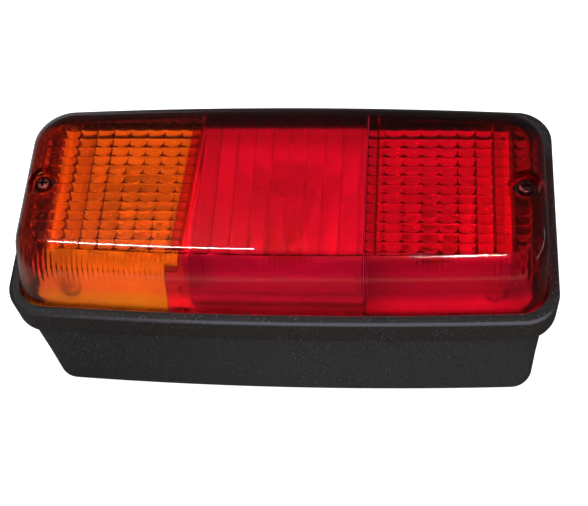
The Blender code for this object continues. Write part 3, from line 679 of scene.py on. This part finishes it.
def slice_faces(built, faces, axis, places):
    """Cuts these faces along planes square to an axis, and returns all the faces they became."""
    normal, point = Vector((0, 0, 0)), Vector((0, 0, 0))
    normal[axis] = 1
    edges, verts = {e for f in faces for e in f.edges}, {v for f in faces for v in f.verts}
    geom = [*faces, *edges, *verts]
    for place in places:
        point[axis] = place
        plane = {"plane_co": point, "plane_no": normal}
        geom = bmesh.ops.bisect_plane(built, geom=geom, dist=1e-7, **plane)["geom"]
    return [item for item in geom if isinstance(item, bmesh.types.BMFace)]


def steps_between(low, high, step):
    count = int(math.ceil((high - low) / step))
    return [low + step * i for i in range(count + 1)]


def cell_steps(low, high, cell):
    """Where to cut a row of cells: at their borders, beside those, and a few times between."""
    return [start + cell * part for start in steps_between(low, high, cell) for part in CELL_CUTS]


def cell_swell(offset, cell, pillow):
    """How far a cell stands out at this offset from its middle: a pillow with grooved borders."""
    radius, groove = pillow
    half = cell / 2
    from_border = (half - abs(offset)) / (CELL_CUTS[2] * cell)
    return (half**2 - offset**2) / (2 * radius) + groove * min(1.0, from_border)


def column_pillow(x, start):
    """The pillow of the column that holds x: deeper towards the ends of the lens."""
    middle = start + CELL[0] * (math.floor((x - start) / CELL[0] + 1e-4) + 0.5)
    low, high = OUTER_COLUMNS
    share = min(1.0, max(0.0, (abs(middle) - low) / (high - low)))
    return [a + (b - a) * share for a, b in zip(COLUMN_PILLOW, OUTER_PILLOW)]


def cut_facets(built, start, rows):
    """Gives the flat inside of the lens its optics: small pillows in rows, or upright bands."""
    level = LENS_TOP - LENS_WALL
    reach = 10 * CELL[1]  # past both long sides

    def flat(face):
        return face.normal.z < -0.99 and all(abs(v.co.z - level) < 2e-6 for v in face.verts)

    built.normal_update()
    faces = [f for f in built.faces if flat(f)]
    xs = [v.co.x for f in faces for v in f.verts]
    first = start + CELL[0] * math.floor((min(xs) - start) / CELL[0])
    faces = slice_faces(built, faces, 0, cell_steps(first, max(xs), CELL[0]))
    slice_faces(built, faces, 1, cell_steps(-reach, reach, CELL[1]))
    stray = []  # edges that cross a cell at a slant
    for edge in built.edges:
        a, b = edge.verts[0].co, edge.verts[1].co
        if abs(a.x - b.x) > 1e-6 and abs(a.y - b.y) > 1e-6 and len(edge.link_faces) == 2:
            if all(flat(face) for face in edge.link_faces):
                stray.append(edge)
    bmesh.ops.dissolve_edges(built, edges=stray, use_verts=False)
    for vert in {v for f in built.faces if flat(f) for v in f.verts}:
        in_x = (vert.co.x - start) % CELL[0] - CELL[0] / 2
        in_y = vert.co.y % CELL[1] - CELL[1] / 2
        if rows:
            vert.co.z -= cell_swell(in_x, CELL[0], column_pillow(vert.co.x, start))
            vert.co.z -= cell_swell(in_y, CELL[1], ROW_PILLOW)
        else:
            vert.co.z -= cell_swell(in_x, CELL[0], MIDDLE_PILLOW)


def cut_ribs(built, depth):
    """Fine upright ribs inside the long sides, strongest at the top and fading out downwards."""
    built.normal_update()
    for side in (-1, 1):
        faces = [
            f
            for f in built.faces
            if side * f.calc_center_median().y > 0.020
            and side * f.normal.y < -0.12
            and f.calc_center_median().z > 0.0640
        ]
        xs = [v.co.x for f in faces for v in f.verts]
        low = RIB_PITCH * math.floor(min(xs) / RIB_PITCH)
        faces = slice_faces(built, faces, 0, steps_between(low, max(xs), RIB_PITCH / 6))
        for vert in {v for f in faces for v in f.verts}:
            fade = min(1.0, max(0.0, (vert.co.z - 0.0645) / 0.005))
            top = min(1.0, max(0.0, (LENS_TOP - LENS_WALL - vert.co.z) / 0.0008))
            wave = 0.5 - 0.5 * math.cos(2 * math.pi * vert.co.x / RIB_PITCH)
            vert.co.y -= side * depth * fade * top * wave


def leaning_block(ends, leans, side_y, heights):
    """A block whose two ends lean along Y: ends gives their X at Y = 0, and leans their slopes."""
    corners = [(ends[i] + leans[i] * y, y) for i, y in zip((0, 1, 1, 0), sorted(side_y * 2))]
    return skin("cutter", [ring_at(corners, heights[0]), ring_at(corners, heights[1])])


def lens_shell(name, ends, leans):
    """The part of the whole lens between two ends, each of which may lean."""
    lens = skin(name, lens_surface(LENS_WALL)[::-1] + lens_surface(0.0))
    return combine(lens, "INTERSECT", leaning_block(ends, leans, LENS_SIDES, LENS_HEIGHTS))


def add_amber_joint(stop):
    """The red moulding's lip under the amber one's edge, and its toe round the front corner."""
    leans = (AMBER_SEAM_LEAN, AMBER_SEAM_LEAN)
    inside, sides = LENS_TOP - LENS_WALL, (-LIP_HALF_Y, LIP_HALF_Y)
    edge = AMBER_SEAM_X + SEAM_GAP
    lip = leaning_block((edge - LIP_WIDTH, edge + 0.001), leans, sides, (LIP_BOTTOM, inside - GAP))
    riser = leaning_block((edge, edge + 0.001), leans, sides, (LIP_BOTTOM, inside + GAP))
    toe_ends = (SEAM_GAP - STEP_X, AMBER_SEAM_X + TOE_OVERLAP)
    toe = lens_shell("toe", toe_ends, (0, AMBER_SEAM_LEAN))
    low = (LENS_ENDS[0], LENS_SIDES[0], LENS_HEIGHTS[0])
    combine(toe, "INTERSECT", block(low, (LENS_ENDS[1], STEP_Y - SEAM_GAP, STEP_TOP - SEAM_GAP)))
    combine(stop, "UNION", lip, riser, toe)


def cut_optics(lens, start, rows, rib_depth):
    """Cuts the facets, whose first column begins at X = start, and the ribs inside a lens."""
    built = bmesh.new()
    built.from_mesh(lens.data)
    cut_facets(built, start, rows)
    cut_ribs(built, rib_depth)
    bmesh.ops.recalc_face_normals(built, faces=built.faces)
    built.to_mesh(lens.data)
    built.free()


def dress_lens(lens, slot, node):
    lens.data.shade_smooth()
    lens.data.set_sharp_from_angle(angle=LENS_SHARP)
    dress(lens, slot, "lens_cap", node)


def make_lenses():
    half, lean = LENS_SEAM / 2, AMBER_SEAM_LEAN
    amber = lens_shell("indicator_lens_optic", (LENS_ENDS[0], AMBER_SEAM_X - half), (0, lean))
    stop = lens_shell("stop_lens_optic", (AMBER_SEAM_X + half, SEAM_X - half), (lean, 0))
    tail = lens_shell("tail_lens_optic", (SEAM_X + half, LENS_ENDS[1]), (0, 0))
    step_low = (-STEP_X, LENS_SIDES[0], LENS_HEIGHTS[0])
    combine(amber, "DIFFERENCE", block(step_low, (0.0, STEP_Y, STEP_TOP)))
    for lens, side in ((amber, -1), (tail, 1)):
        added, removed = post_cutters(side)
        combine(lens, "UNION", *added)
        combine(lens, "DIFFERENCE", *removed)
    cut_optics(amber, -SEAM_X, True, AMBER_RIB_DEPTH)
    dress_lens(amber, "amber_lens", "indicator_lens")
    cut_optics(stop, CELL[0] / 2, False, RIB_DEPTH)
    add_amber_joint(stop)
    dress_lens(stop, "red_lens", "stop_lens")
    cut_optics(tail, SEAM_X + half, True, RIB_DEPTH)
    dress_lens(tail, "red_lens", "tail_lens")


def make_gasket():
    bottom = LEDGE_TOP + GAP
    section = [(0.0023, 0), (0.0004, 0), (0.0002, 0.0003)]  # inset, height
    section += [(0.0002, 0.0012), (0.0004, 0.0015), (0.0023, 0.0015)]
    loops = [ring_at(outline(LENS_HALF, LENS_RADIUS, inset), bottom + z) for inset, z in section]
    dress(skin("lens_seal", loops, True), "rubber", "root", "lens_gasket")


# ---- reflector tray


def dish_profile(radius, offset):
    """The side of a dish from its floor to the deck, this far outside its inner face."""
    floor, rise, run = DISH_FLOOR - offset, DECK_TOP - DISH_FLOOR, radius - DISH_FLOOR_RADIUS
    side = []
    for step in range(11):
        t = step / 10
        out = DISH_FLOOR_RADIUS + offset + run * math.sin(t * math.pi / 2)
        side.append((out, floor + rise * t))
    return side


def make_wall(x, thickness, half_y, bottom, top):
    """An upright wall across the tray, narrower at its top and with a bevelled top edge."""
    rings = []
    levels = [(half_y[0], thickness / 2, bottom), (half_y[1], thickness / 2, top - 0.0004)]
    levels.append((half_y[1] - 0.0003, thickness / 2 - 0.0003, top))
    for y, half, z in levels:
        rings.append(ring_at([(x - half, -y), (x + half, -y), (x + half, y), (x - half, y)], z))
    return skin("wall", rings)


def make_tray():
    bottom, bevel = DECK_TOP - DECK_THICKNESS, 0.0003
    foot = bottom + 0.0005  # where the walls and dishes end, inside the deck
    loops = []
    levels = [(bevel, bottom), (0, bottom + bevel), (0, DECK_TOP - bevel), (bevel, DECK_TOP)]
    for inset, z in levels:
        loops.append(ring_at(outline(DECK_HALF, DECK_RADIUS, inset), z))
    tray = skin("reflector_moulding", loops)
    for _, x, radius, _, _ in CHAMBERS:
        side = dish_profile(radius, SKIN)
        outside = [point for point in side if point[1] < bottom] + [(radius + SKIN, foot)]
        combine(tray, "UNION", turned("dish", outside, (x, 0), 72))
    walls = (
        (SEAM_X, PARTITION_THICKNESS, PARTITION_Y, PARTITION_TOP),
        (END_WALL_X, END_WALL_THICKNESS, END_WALL_Y, END_WALL_TOP),
    )
    for x, thickness, half_y, top in walls:
        for side in (-1, 1):
            combine(tray, "UNION", make_wall(side * x, thickness, half_y, foot, top))
    for side in (-1, 1):
        near, far = (side * SIDE_WALL_Y + end * SIDE_WALL_THICKNESS / 2 for end in (-1, 1))
        combine(tray, "UNION", block((-SEAM_X, near, foot), (SEAM_X, far, SIDE_WALL_TOP)))
    through_dish, (below, above) = (0.030, 0.036), (0.045, 0.055)  # heights of the cutters
    for _, x, radius, _, _ in CHAMBERS:
        inside = dish_profile(radius, 0.0) + [(radius, DECK_TOP + 0.001)]
        cutters = [turned("hollow", inside, (x, 0), 72)]
        cutters.append(cylinder(BULB_HOLE_RADIUS, *through_dish, (x, 0)))
        for y in (-RIVET_Y, RIVET_Y):
            cutters.append(cylinder(RIVET_RADIUS + 0.0002, *through_dish, (x, y), 24))
        combine(tray, "DIFFERENCE", *cutters)
    for place in PILLAR_PLACES:
        combine(tray, "DIFFERENCE", cylinder(TRAY_SCREW_RADIUS + GAP, below, above, place, 24))
    notch = BOSS_RADIUS + BOSS_CLEARANCE
    for side in (-1, 1):
        ends = sorted((side * SCREW_X, side * LENS_ENDS[1]))
        slot = block((ends[0], -notch, below), (ends[1], notch, above))
        combine(tray, "DIFFERENCE", cylinder(notch, below, above, (side * SCREW_X, 0)), slot)
    dress(tray, "white_plastic", "root", "reflector_tray")


# ---- screws, bulbs and small parts


def cross_cutter(center, top, depth, reach, width):
    """The two crossed tapered wedges of a Phillips recess."""
    wedges = []
    for half_x, half_y in ((reach, width), (width, reach)):
        rings = []
        for z, shrink in ((top - depth, 0.45), (top + 0.0005, 1.0)):
            a, b = half_x * shrink, half_y * shrink
            corners = [(-a, -b), (a, -b), (a, b), (-a, b)]
            rings.append(ring_at([(center[0] + x, center[1] + y) for x, y in corners], z))
        wedges.append(skin("cross", rings))
    return wedges


def make_pan_screw(name, node, body, slot, center, seat, head, shank, tip):
    """A threaded screw with a domed cross-recess head, whose underside lies at height seat."""
    radius, height = head
    profile = [(shank * 0.45, tip), (shank * 0.9, tip + shank)]
    pitch, z = 0.0007, tip + shank
    while z + pitch < seat - 0.0015:
        profile += [(shank, z + pitch * 0.4), (shank * 0.86, z + pitch)]
        z += pitch
    profile += [(shank, z + 0.0003), (shank, seat)]
    profile += [(radius * 0.97, seat), (radius, seat + height * 0.08)]
    for step in range(9):
        a = math.radians(90 * step / 8)
        x = radius * (0.45 + 0.55 * math.cos(a) ** 0.8) if step < 8 else radius * 0.40
        profile.append((x, seat + height * (0.40 + 0.60 * math.sin(a))))
    screw = turned(name, profile, center, 40)
    recess = cross_cutter(center, seat + height, height * 0.75, radius * 0.62, radius * 0.15)
    combine(screw, "DIFFERENCE", *recess)
    return dress(screw, slot, body, node)


def make_fixings():
    for label, side in (("left", -1), ("right", 1)):
        center = (side * SCREW_X, 0)
        low = RECESS_FLOOR + GAP
        high = low + WASHER_THICKNESS
        hole = SCREW_RADIUS + 0.0001
        middle = (hole + WASHER_RADIUS) / 2
        corners = [(middle, low), (WASHER_RADIUS, low), (WASHER_RADIUS, high)]
        profile = rounded([*corners, (hole, high), (hole, low), (middle, low)], 0.0002)
        washer = turned(f"{label}_sealing_washer", profile[:-1], center, 40, hollow=True)
        dress(washer, "rubber", f"{label}_screw_travel_body", f"{label}_screw_washer")
        names = (f"{label}_pan_screw", f"{label}_lens_screw", f"{label}_screw_body")
        shank = SCREW_RADIUS - 0.00005
        make_pan_screw(*names, "dark_steel", center, high + GAP, SCREW_HEAD, shank, SCREW_TIP)
    for number, place in enumerate(PILLAR_PLACES, 1):
        names = (f"tray_fixing_{number}", f"tray_screw_{number}", "root")
        sizes = (TRAY_SCREW_HEAD, TRAY_SCREW_RADIUS, TRAY_SCREW_TIP)
        screw = make_pan_screw(*names, "steel", place, DECK_TOP + GAP, *sizes)
        screw.data.materials[0] = PALE_STEEL


def make_rivets():
    """Rivets with a domed head at both ends, through dish, socket flange and earth strip."""
    low = DISH_FLOOR - SKIN - GAP - FLANGE_THICKNESS - GAP - STRIP_THICKNESS - GAP
    top = DISH_FLOOR + GAP
    profile = [(0.0009, low - 0.0008), (0.0018, low - 0.0006), (RIVET_HEAD, low - 0.0002)]
    profile += [(RIVET_HEAD, low), (RIVET_RADIUS, low), (RIVET_RADIUS, top), (RIVET_HEAD, top)]
    profile += [(RIVET_HEAD, top + 0.0003), (0.0018, top + 0.0006), (0.0009, top + 0.0008)]
    for label, x, _, _, _ in CHAMBERS:
        for side, y in (("front", -RIVET_Y), ("rear", RIVET_Y)):
            rivet = turned(f"{label}_{side}_rivet_turned", profile, (x, y), 28)
            dress(rivet, "steel", "root", f"{label}_{side}_rivet")


def make_bulb_cap(label, x, body):
    """A bayonet cap: foot contact, ring near the top and two pins."""
    low, top = CAP_BOTTOM, CAP_TOP
    profile = [(0.0022, low - 0.0009), (0.0030, low - 0.0007), (0.0034, low - 0.0002)]
    profile += [(0.0038, low + 0.0001), (0.0060, low + 0.0001), (0.0070, low + 0.0006)]
    profile += [(CAP_RADIUS, low + 0.0015), (CAP_RADIUS, top - 0.0040)]
    profile += [(CAP_RADIUS - 0.0003, top - 0.0036), (CAP_RADIUS, top - 0.0032)]
    profile += [(CAP_RADIUS, top - 0.0010), (CAP_RADIUS - 0.0002, top - 0.0004)]
    profile += [(CAP_RADIUS - 0.0006, top)]
    cap = turned(f"{label}_cap", profile, (x, 0), 48)
    angles = [2 * math.pi * i / 16 for i in range(16)]
    for side in (-1, 1):
        loops = []
        for reach, size in ((0.0060, 0.0010), (0.0083, 0.0010), (0.0085, 0.0007)):
            out = x + side * reach
            loops.append(
                [Vector((out, size * math.cos(a), PIN_Z + size * math.sin(a))) for a in angles]
            )
        combine(cap, "UNION", skin("pin", loops))
    dress(cap, "brass", body, f"{label}_bulb_cap")


def make_bulbs():
    for label, x, _, radius, height in CHAMBERS:
        body = f"{label}_bulb"
        make_bulb_cap(label, x, body)
        bottom = CAP_TOP + GAP
        neck = min(0.0062, radius * 0.62)
        middle = bottom + height - radius
        outside = [(neck - 0.0008, bottom), (neck - 0.0002, bottom + 0.0006)]
        outside += [(neck, bottom + 0.0014), (neck + 0.0002, bottom + 0.0030)]
        outside += arc((0, middle), radius, math.degrees(math.asin(-0.70)), 88, 22)
        wall = 0.0005
        inside = [(max(r - wall, 0.0002), z - wall * (z > middle)) for r, z in reversed(outside)]
        inside = [point for point in inside if point[1] > bottom + 0.0008]
        profile = [*outside, *inside, (neck - 0.0012, bottom)]
        glass = turned(f"{label}_envelope", profile, (x, 0), 48, hollow=True)
        dress(glass, "bulb_glass", body, f"{label}_bulb_glass")
        make_filament(label, x, body, bottom, middle)


def tube_along(name, points, radius, sides=8):
    """A round wire along a line of points."""
    loops = []
    for i, point in enumerate(points):
        here = Vector(points[min(i + 1, len(points) - 1)]) - Vector(points[max(i - 1, 0)])
        turn = here.to_track_quat("Z", "Y").to_matrix()
        angles = [2 * math.pi * k / sides for k in range(sides)]
        circle = [(radius * math.cos(a), radius * math.sin(a)) for a in angles]
        loops.append([Vector(point) + turn @ offset for offset in ring_at(circle, 0)])
    return skin(name, loops)


def make_contact_springs():
    """Coils under the contact plungers, at one fixed length; the real ones shorten as the plungers go
    down.
    """
    low, high = SPRING_ENDS
    rise, steps = high - low - 2 * SPRING_WIRE, 24
    for label, x, _, _, _ in CHAMBERS:
        coil = []
        for i in range(SPRING_TURNS * steps + 1):
            a, share = 2 * math.pi * i / steps, i / (SPRING_TURNS * steps)
            z = low + SPRING_WIRE + rise * share
            coil.append((x + SPRING_RADIUS * math.cos(a), SPRING_RADIUS * math.sin(a), z))
        spring = tube_along(f"{label}_contact_coil", coil, SPRING_WIRE, 10)
        dress(spring, "steel", "root", f"{label}_contact_spring")
        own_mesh(spring)


def make_filament(label, x, body, bottom, middle):
    """Glass stem, two lead wires and the coiled filament between them."""
    stem_top = bottom + 0.0065
    profile = [(0.0030, bottom + 0.0002), (0.0027, bottom + 0.0012), (0.0016, bottom + 0.0030)]
    profile += [(0.0016, stem_top - 0.0008), (0.0008, stem_top)]
    stem = turned(f"{label}_stem", profile, (x, 0), 24)
    dress(stem, "bulb_glass", body)
    for side in (-1, 1):
        lead = [(x + side * 0.0010, 0, stem_top - 0.0030), (x + side * 0.0011, 0, stem_top)]
        lead += [(x + side * 0.0022, 0, stem_top + 0.0020), (x + side * 0.0030, 0, middle)]
        dress(tube_along(f"{label}_lead_{'ab'[side > 0]}", lead, 0.00018), "steel", body)
    coil, turns, steps = [], 14, 12
    half, radius = 0.0030, 0.00028
    for i in range(steps * turns + 1):
        a = 2 * math.pi * i / steps
        along = -half + 2 * half * i / (steps * turns)
        rise = 0.0006 * math.cos(along / half * math.pi / 2)
        coil.append((x + along, radius * math.cos(a), middle + rise + radius * math.sin(a)))
    dress(tube_along(f"{label}_filament", coil, 0.00007, 5), "steel", body)


def make_grommet():
    profile = [(0.0024, 0.0001), (0.0080, 0.0001), (0.0080, 0.0009), (0.0047, 0.0009)]
    profile += [(0.0047, 0.0033), (0.0065, 0.0033), (0.0062, 0.0049), (0.0045, 0.0049)]
    profile += [(0.0036, 0.0085), (0.0024, 0.0085), (0.0024, 0.0001)]
    grommet = turned("cable_inlet", rounded(profile, 0.0004)[:-1], (GROMMET_X, 0), 56, hollow=True)
    dress(grommet, "rubber", "root", "cable_grommet")


# ---- stage, light, camera


def make_floor():
    """A floor that the camera sees white, and that throws little light back except at the left."""
    built = bmesh.new()
    bmesh.ops.create_grid(built, x_segments=8, y_segments=8, size=4.0)
    floor = finish("studio_floor", built)
    look = Look("pale_floor", (0.80, 0.80, 0.80), 0.6)
    look.set("Emission Color", (1.0, 1.0, 1.0, 1.0))
    seen = look.node("ShaderNodeLightPath").outputs["Is Camera Ray"]
    left = look.rise(look.split(look.place)[0], -0.08, -0.20)
    unseen = look.mix(left, (0.07, 0.07, 0.07), (0.45, 0.45, 0.45))
    look.to("Base Color", look.mix(seen, unseen, (0.80, 0.80, 0.80)))
    look.to("Emission Strength", seen)
    floor.data.materials.append(look.material)
    floor.location.z = -0.0005


def area_light(name, place, size, power, mirrored=True):
    """A rectangular lamp that faces the object; a fill light isn't mirrored in the gloss."""
    data = bpy.data.lights.new(name, "AREA")
    data.shape = "RECTANGLE"
    data.size, data.size_y = size
    data.energy = power
    light = bpy.data.objects.new(name, data)
    back = (Vector(place) - Vector((0, 0, 0.05))).normalized()
    side = (Vector((1, 0, 0)) - back * back.x).normalized()
    turn = Matrix((side, back.cross(side), back)).transposed()
    light.matrix_world = Matrix.Translation(place) @ turn.to_4x4()
    light.visible_glossy = mirrored
    bpy.context.scene.collection.objects.link(light)


def make_studio():
    """A dim surround, pale only to the camera, with soft lamps at both sides and in front."""
    world = bpy.data.worlds.new("studio")
    bpy.context.scene.world = world
    world.use_nodes = True
    tree = world.node_tree
    background = tree.nodes["Background"]
    path = tree.nodes.new("ShaderNodeLightPath")
    mixed = tree.nodes.new("ShaderNodeMix")
    mixed.inputs["A"].default_value = 0.05
    mixed.inputs["B"].default_value = 1.0
    tree.links.new(path.outputs["Is Camera Ray"], mixed.inputs[0])
    tree.links.new(mixed.outputs[0], background.inputs["Strength"])
    background.inputs["Color"].default_value = (1.0, 1.0, 1.0, 1.0)
    area_light("left_softbox", (-1.1, -0.3, 1.0), (1.5, 1.5), 3, mirrored=False)
    area_light("right_softbox", (0.9, 0.1, 1.1), (1.0, 1.0), 2.5, mirrored=False)
    area_light("right_line", (1.3, 0.1, 0.30), (0.05, 1.2), 0.6)
    area_light("front_softbox", (0.2, -1.5, 0.12), (2.2, 0.4), 18, mirrored=False)
    area_light("back_softbox", (-0.4, 1.5, 0.25), (2.0, 0.5), 3, mirrored=False)
    area_light("strip_light", (-0.31, 0.35, 1.1), (0.30, 0.05), 3.6)
    area_light("spot_light", (0.14, -0.25, 1.05), (0.045, 0.03), 1.6)
    area_light("line_light", (0.14, -0.25, 1.05), (0.16, 0.008), 0.6)


def make_camera():
    """The camera stands in front of the lamp, a little to the right, and looks down steeply."""
    data = bpy.data.cameras.new("camera")
    data.lens, data.sensor_width = 72.5, 36.0
    data.clip_start = 0.01
    camera = bpy.data.objects.new("camera", data)
    azimuth, elevation, roll = (math.radians(a) for a in CAMERA_ANGLES)
    level = math.cos(elevation)
    away = Vector((math.sin(azimuth) * level, -math.cos(azimuth) * level, math.sin(elevation)))
    turn = Matrix.Rotation(roll, 3, away) @ away.to_track_quat("Z", "Y").to_matrix()
    place = Vector(CAMERA_TARGET) + away * CAMERA_DISTANCE
    camera.matrix_world = Matrix.Translation(place) @ turn.to_4x4()
    bpy.context.scene.collection.objects.link(camera)
    bpy.context.scene.camera = camera


def dress_cad_nodes():
    """The CAD nodes that stay get the same materials as the new pieces."""
    for name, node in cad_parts.items():
        for end, slot in CAD_SLOTS:
            if name.endswith(end):
                node.data.materials.clear()
                node.data.materials.append(LOOKS[slot])
                node.data.shade_smooth()
                node.data.set_sharp_from_angle(angle=SHARP)


bpy.context.scene.view_settings.view_transform = "Standard"
dress_cad_nodes()
make_housing()
make_gasket()
make_tray()
make_lenses()
make_fixings()
make_rivets()
make_contact_springs()
make_bulbs()
make_grommet()
make_floor()
make_studio()
make_camera()
